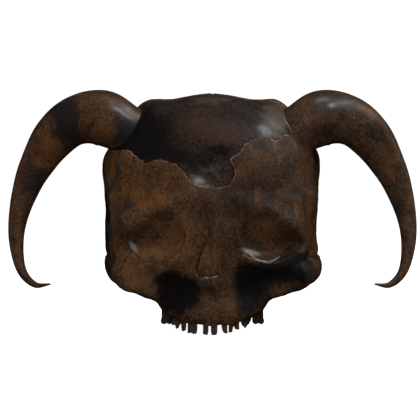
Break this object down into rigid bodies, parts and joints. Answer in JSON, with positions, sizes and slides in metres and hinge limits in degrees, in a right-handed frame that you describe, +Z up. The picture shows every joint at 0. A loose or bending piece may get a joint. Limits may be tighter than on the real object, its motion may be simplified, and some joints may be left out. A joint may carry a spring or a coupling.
{
  "type": "horned skull",
  "caption": "Jawless, man-like skull with a horn curling down on each side, a smooth bare dome over a broken crust of old bone, shallow closed sockets and worn peg teeth. Still model.",
  "frame": {"origin": "on the floor, under the middle of the skull's box", "axes": "+Z up, the face looks along -Y, +X is the viewer's right when facing the skull"},
  "size_m": [0.2852, 0.1899, 0.1669],
  "materials": {
    "crust_bone": "dull mottled brown old bone with black stains",
    "bare_bone": "smooth, glossy, nearly black bone",
    "horn": "satin dark brown horn with grey patches"
  },
  "bodies": {
    "root": {"braincase": "crust_bone", "face_left": "crust_bone", "face_right": "crust_bone", "upper_jaw": "crust_bone", "arch_left": "crust_bone", "arch_right": "crust_bone", "bare_dome": "bare_bone", "horn_left": "horn", "horn_right": "horn"}
  },
  "joints": []
}
